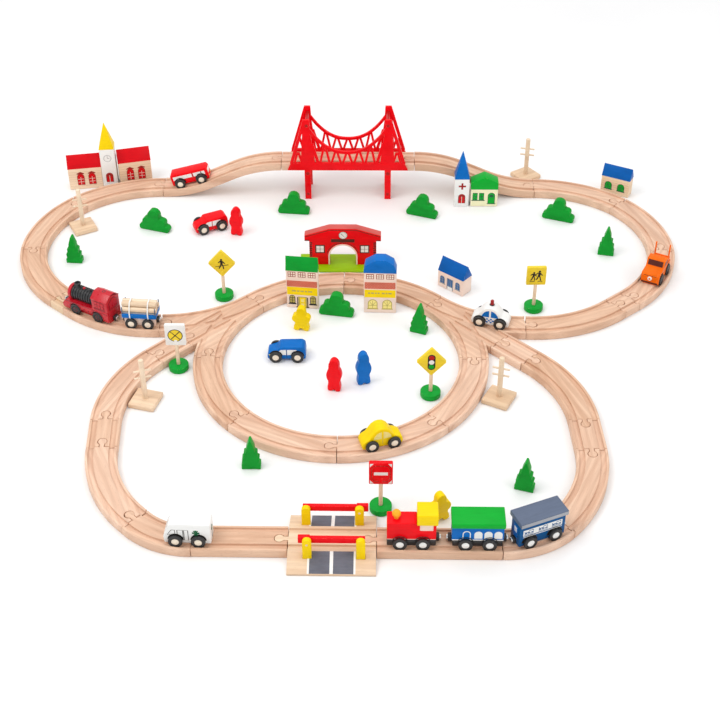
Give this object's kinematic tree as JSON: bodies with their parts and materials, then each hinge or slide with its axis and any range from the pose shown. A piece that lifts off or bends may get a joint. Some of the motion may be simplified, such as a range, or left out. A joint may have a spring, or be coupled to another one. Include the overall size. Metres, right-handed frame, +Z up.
{
  "type": "toy train set",
  "caption": "Wooden toy railway: a circle of track joined to three loops, with a bridge on ramps, a level crossing, trains, cars, buildings, trees, signs and figures.",
  "frame": {"origin": "centre of the bounding box on the floor plane under the layout", "axes": "+X to the right along the bridge and the lower straight, +Y from the level crossing towards the bridge, +Z up from the floor"},
  "size_m": [0.9948, 0.913, 0.1425],
  "materials": {
    "beech_track": "sanded beech",
    "beech_light": "sanded",
    "red_paint": "painted wood",
    "green_paint": "painted wood",
    "yellow_paint": "painted wood",
    "blue_paint": "painted wood",
    "orange_paint": "painted wood",
    "white_paint": "painted wood",
    "multi_print": "printed wood",
    "black_wheel": "moulded"
  },
  "bodies": {
    "layout": {"ring_curves": "beech_track", "switch_left": "beech_track", "switch_right": "beech_track", "lobe_curves_left": "beech_track", "lobe_curves_right": "beech_track", "lower_curves_left": "beech_track", "lower_curves_right": "beech_track", "straight_tracks": "beech_light", "ramp_tracks": "beech_track", "bridge_deck": "beech_track", "bridge_trusses": "red_paint", "bridge_cross_ties": "beech_light", "crossing_base": "beech_light", "gate_posts": "yellow_paint", "station_base": "green_paint", "station_building": "red_paint", "town_blocks": "multi_print", "trees": "green_paint", "sign_stands": "green_paint", "sign_boards": "yellow_paint", "telegraph_poles": "beech_light", "people_figures": "multi_print"},
    "rear_gate": {"gate_arm_rear": "white_paint"},
    "front_gate": {"gate_arm_front": "white_paint"},
    "battery_loco": {"battery_loco": "red_paint"},
    "battery_loco_wheels_rear": {"battery_loco_wheels_rear": "black_wheel"},
    "battery_loco_wheels_front": {"battery_loco_wheels_front": "black_wheel"},
    "log_car": {"log_car": "blue_paint"},
    "log_car_wheels_rear": {"log_car_wheels_rear": "black_wheel"},
    "log_car_wheels_front": {"log_car_wheels_front": "black_wheel"},
    "steam_engine": {"steam_engine": "red_paint"},
    "steam_engine_wheels_rear": {"steam_engine_wheels_rear": "black_wheel"},
    "steam_engine_wheels_front": {"steam_engine_wheels_front": "black_wheel"},
    "green_coach": {"green_coach": "green_paint"},
    "green_coach_wheels_rear": {"green_coach_wheels_rear": "black_wheel"},
    "green_coach_wheels_front": {"green_coach_wheels_front": "black_wheel"},
    "blue_coach": {"blue_coach": "blue_paint"},
    "blue_coach_wheels_rear": {"blue_coach_wheels_rear": "black_wheel"},
    "blue_coach_wheels_front": {"blue_coach_wheels_front": "black_wheel"},
    "red_bus": {"red_bus": "red_paint"},
    "red_bus_wheels_rear": {"red_bus_wheels_rear": "black_wheel"},
    "red_bus_wheels_front": {"red_bus_wheels_front": "black_wheel"},
    "red_car": {"red_car": "red_paint"},
    "red_car_wheels_rear": {"red_car_wheels_rear": "black_wheel"},
    "red_car_wheels_front": {"red_car_wheels_front": "black_wheel"},
    "blue_car": {"blue_car": "blue_paint"},
    "blue_car_wheels_rear": {"blue_car_wheels_rear": "black_wheel"},
    "blue_car_wheels_front": {"blue_car_wheels_front": "black_wheel"},
    "yellow_car": {"yellow_car": "yellow_paint"},
    "yellow_car_wheels_rear": {"yellow_car_wheels_rear": "black_wheel"},
    "yellow_car_wheels_front": {"yellow_car_wheels_front": "black_wheel"},
    "police_car": {"police_car": "white_paint"},
    "police_car_wheels_rear": {"police_car_wheels_rear": "black_wheel"},
    "police_car_wheels_front": {"police_car_wheels_front": "black_wheel"},
    "ambulance": {"ambulance": "white_paint"},
    "ambulance_wheels_rear": {"ambulance_wheels_rear": "black_wheel"},
    "ambulance_wheels_front": {"ambulance_wheels_front": "black_wheel"},
    "orange_truck": {"orange_truck": "orange_paint"},
    "orange_truck_wheels_rear": {"orange_truck_wheels_rear": "black_wheel"},
    "orange_truck_wheels_front": {"orange_truck_wheels_front": "black_wheel"}
  },
  "joints": [
    {"name": "rear_gate_hinge", "type": "hinge", "parent": "layout", "child": "rear_gate", "pos_m": [0.0307, -0.37651, 0.031], "axis": [0, 1, 0], "range_deg": [0, 80]},
    {"name": "front_gate_hinge", "type": "hinge", "parent": "layout", "child": "front_gate", "pos_m": [-0.029, -0.42851, 0.031], "axis": [0, -1, 0], "range_deg": [0, 80]},
    {"name": "battery_loco_along_track", "type": "hinge", "parent": "layout", "child": "battery_loco", "pos_m": [-0.26821, 0.19151, 0], "axis": [0, 0, 1], "range_deg": [-7, 1]},
    {"name": "battery_loco_wheels_rear_axle", "type": "hinge", "parent": "battery_loco", "child": "battery_loco_wheels_rear", "pos_m": [-0.34017, 0.02435, 0.0175], "axis": [-0.4939, -0.8695, 0], "continuous": true},
    {"name": "battery_loco_wheels_front_axle", "type": "hinge", "parent": "battery_loco", "child": "battery_loco_wheels_front", "pos_m": [-0.37495, 0.0441, 0.0175], "axis": [-0.4939, -0.8695, 0], "continuous": true},
    {"name": "log_car_along_track", "type": "hinge", "parent": "layout", "child": "log_car", "pos_m": [-0.26821, 0.19151, 0], "axis": [0, 0, 1], "range_deg": [-7, 1]},
    {"name": "log_car_wheels_rear_axle", "type": "hinge", "parent": "log_car", "child": "log_car_wheels_rear", "pos_m": [-0.27208, 0.00956, 0.0175], "axis": [-0.0872, -0.9962, 0], "continuous": true},
    {"name": "log_car_wheels_front_axle", "type": "hinge", "parent": "log_car", "child": "log_car_wheels_front", "pos_m": [-0.29599, 0.01165, 0.0175], "axis": [-0.0872, -0.9962, 0], "continuous": true},
    {"name": "steam_engine_along_track", "type": "slide", "parent": "layout", "child": "steam_engine", "axis": [1, 0, 0], "range_m": [-0.025, 0]},
    {"name": "steam_engine_wheels_rear_axle", "type": "hinge", "parent": "steam_engine", "child": "steam_engine_wheels_rear", "pos_m": [0.078, -0.40902, 0.0175], "axis": [0, 1, 0], "continuous": true},
    {"name": "steam_engine_wheels_front_axle", "type": "hinge", "parent": "steam_engine", "child": "steam_engine_wheels_front", "pos_m": [0.1046, -0.40902, 0.0175], "axis": [0, 1, 0], "continuous": true},
    {"name": "green_coach_along_track", "type": "slide", "parent": "layout", "child": "green_coach", "axis": [1, 0, 0], "range_m": [-0.025, 0]},
    {"name": "green_coach_wheels_rear_axle", "type": "hinge", "parent": "green_coach", "child": "green_coach_wheels_rear", "pos_m": [0.1538, -0.40902, 0.0175], "axis": [0, 1, 0], "continuous": true},
    {"name": "green_coach_wheels_front_axle", "type": "hinge", "parent": "green_coach", "child": "green_coach_wheels_front", "pos_m": [0.1818, -0.40902, 0.0175], "axis": [0, 1, 0], "continuous": true},
    {"name": "blue_coach_along_track", "type": "hinge", "parent": "layout", "child": "blue_coach", "pos_m": [0.19795, -0.30802, 0], "axis": [0, 0, 1], "range_deg": [-14.2, 0]},
    {"name": "blue_coach_wheels_rear_axle", "type": "hinge", "parent": "blue_coach", "child": "blue_coach_wheels_rear", "pos_m": [0.22374, -0.40567, 0.0175], "axis": [-0.4099, 0.9121, 0], "continuous": true},
    {"name": "blue_coach_wheels_front_axle", "type": "hinge", "parent": "blue_coach", "child": "blue_coach_wheels_front", "pos_m": [0.25384, -0.39214, 0.0175], "axis": [-0.4099, 0.9121, 0], "continuous": true},
    {"name": "red_bus_along_track", "type": "hinge", "parent": "layout", "child": "red_bus", "pos_m": [-0.30024, 0.38542, 0.19662], "axis": [0, -1, 0], "range_deg": [-8, 2.5]},
    {"name": "red_bus_wheels_rear_axle", "type": "hinge", "parent": "red_bus", "child": "red_bus_wheels_rear", "pos_m": [-0.27212, 0.38542, 0.01972], "axis": [0, 1, 0], "continuous": true},
    {"name": "red_bus_wheels_front_axle", "type": "hinge", "parent": "red_bus", "child": "red_bus_wheels_front", "pos_m": [-0.23731, 0.38542, 0.02892], "axis": [0, 1, 0], "continuous": true},
    {"name": "red_car_along_track", "type": "slide", "parent": "layout", "child": "red_car", "axis": [-0.9063, -0.4226, 0], "range_m": [-0.02, 0.015]},
    {"name": "red_car_wheels_rear_axle", "type": "hinge", "parent": "red_car", "child": "red_car_wheels_rear", "pos_m": [-0.2004, 0.27828, 0.0085], "axis": [0.4226, -0.9063, 0], "continuous": true},
    {"name": "red_car_wheels_front_axle", "type": "hinge", "parent": "red_car", "child": "red_car_wheels_front", "pos_m": [-0.22759, 0.26561, 0.0085], "axis": [0.4226, -0.9063, 0], "continuous": true},
    {"name": "blue_car_along_track", "type": "slide", "parent": "layout", "child": "blue_car", "axis": [1, 0, 0], "range_m": [-0.03, 0.05]},
    {"name": "blue_car_wheels_rear_axle", "type": "hinge", "parent": "blue_car", "child": "blue_car_wheels_rear", "pos_m": [-0.0595, -0.05106, 0.0085], "axis": [0, -1, 0], "continuous": true},
    {"name": "blue_car_wheels_front_axle", "type": "hinge", "parent": "blue_car", "child": "blue_car_wheels_front", "pos_m": [-0.0895, -0.05106, 0.0085], "axis": [0, -1, 0], "continuous": true},
    {"name": "yellow_car_along_track", "type": "hinge", "parent": "layout", "child": "yellow_car", "pos_m": [0, -0.06556, 0], "axis": [0, 0, 1], "range_deg": [-200, 60]},
    {"name": "yellow_car_wheels_rear_axle", "type": "hinge", "parent": "yellow_car", "child": "yellow_car_wheels_rear", "pos_m": [0.04104, -0.24287, 0.0175], "axis": [-0.3024, 0.9532, 0], "continuous": true},
    {"name": "yellow_car_wheels_front_axle", "type": "hinge", "parent": "yellow_car", "child": "yellow_car_wheels_front", "pos_m": [0.06868, -0.2341, 0.0175], "axis": [-0.3024, 0.9532, 0], "continuous": true},
    {"name": "police_car_along_track", "type": "hinge", "parent": "layout", "child": "police_car", "pos_m": [0.25739, 0.19183, 0], "axis": [0, 0, 1], "range_deg": [0, 10]},
    {"name": "police_car_wheels_rear_axle", "type": "hinge", "parent": "police_car", "child": "police_car_wheels_rear", "pos_m": [0.19583, 0.02056, 0.0175], "axis": [0.2622, 0.965, 0], "continuous": true},
    {"name": "police_car_wheels_front_axle", "type": "hinge", "parent": "police_car", "child": "police_car_wheels_front", "pos_m": [0.22381, 0.01295, 0.0175], "axis": [0.2622, 0.965, 0], "continuous": true},
    {"name": "ambulance_along_track", "type": "hinge", "parent": "layout", "child": "ambulance", "pos_m": [-0.16565, -0.30847, 0], "axis": [0, 0, 1], "range_deg": [-30, 0]},
    {"name": "ambulance_wheels_rear_axle", "type": "hinge", "parent": "ambulance", "child": "ambulance_wheels_rear", "pos_m": [-0.18263, -0.40804, 0.0175], "axis": [0.0349, 0.9994, 0], "continuous": true},
    {"name": "ambulance_wheels_front_axle", "type": "hinge", "parent": "ambulance", "child": "ambulance_wheels_front", "pos_m": [-0.15565, -0.40898, 0.0175], "axis": [0.0349, 0.9994, 0], "continuous": true},
    {"name": "orange_truck_along_track", "type": "hinge", "parent": "layout", "child": "orange_truck", "pos_m": [0.29579, 0.2148, 0], "axis": [0, 0, 1], "range_deg": [-17, 16]},
    {"name": "orange_truck_wheels_rear_axle", "type": "hinge", "parent": "orange_truck", "child": "orange_truck_wheels_rear", "pos_m": [0.46421, 0.14582, 0.0175], "axis": [0.891, -0.454, 0], "continuous": true},
    {"name": "orange_truck_wheels_front_axle", "type": "hinge", "parent": "orange_truck", "child": "orange_truck_wheels_front", "pos_m": [0.45059, 0.11909, 0.0175], "axis": [0.891, -0.454, 0], "continuous": true}
  ],
  "couplings": [
    {"joint": "log_car_along_track", "follows": "battery_loco_along_track", "ratio": 1},
    {"joint": "green_coach_along_track", "follows": "steam_engine_along_track", "ratio": 1},
    {"joint": "blue_coach_along_track", "follows": "steam_engine_along_track", "rad_per_m": 9.901}
  ]
}
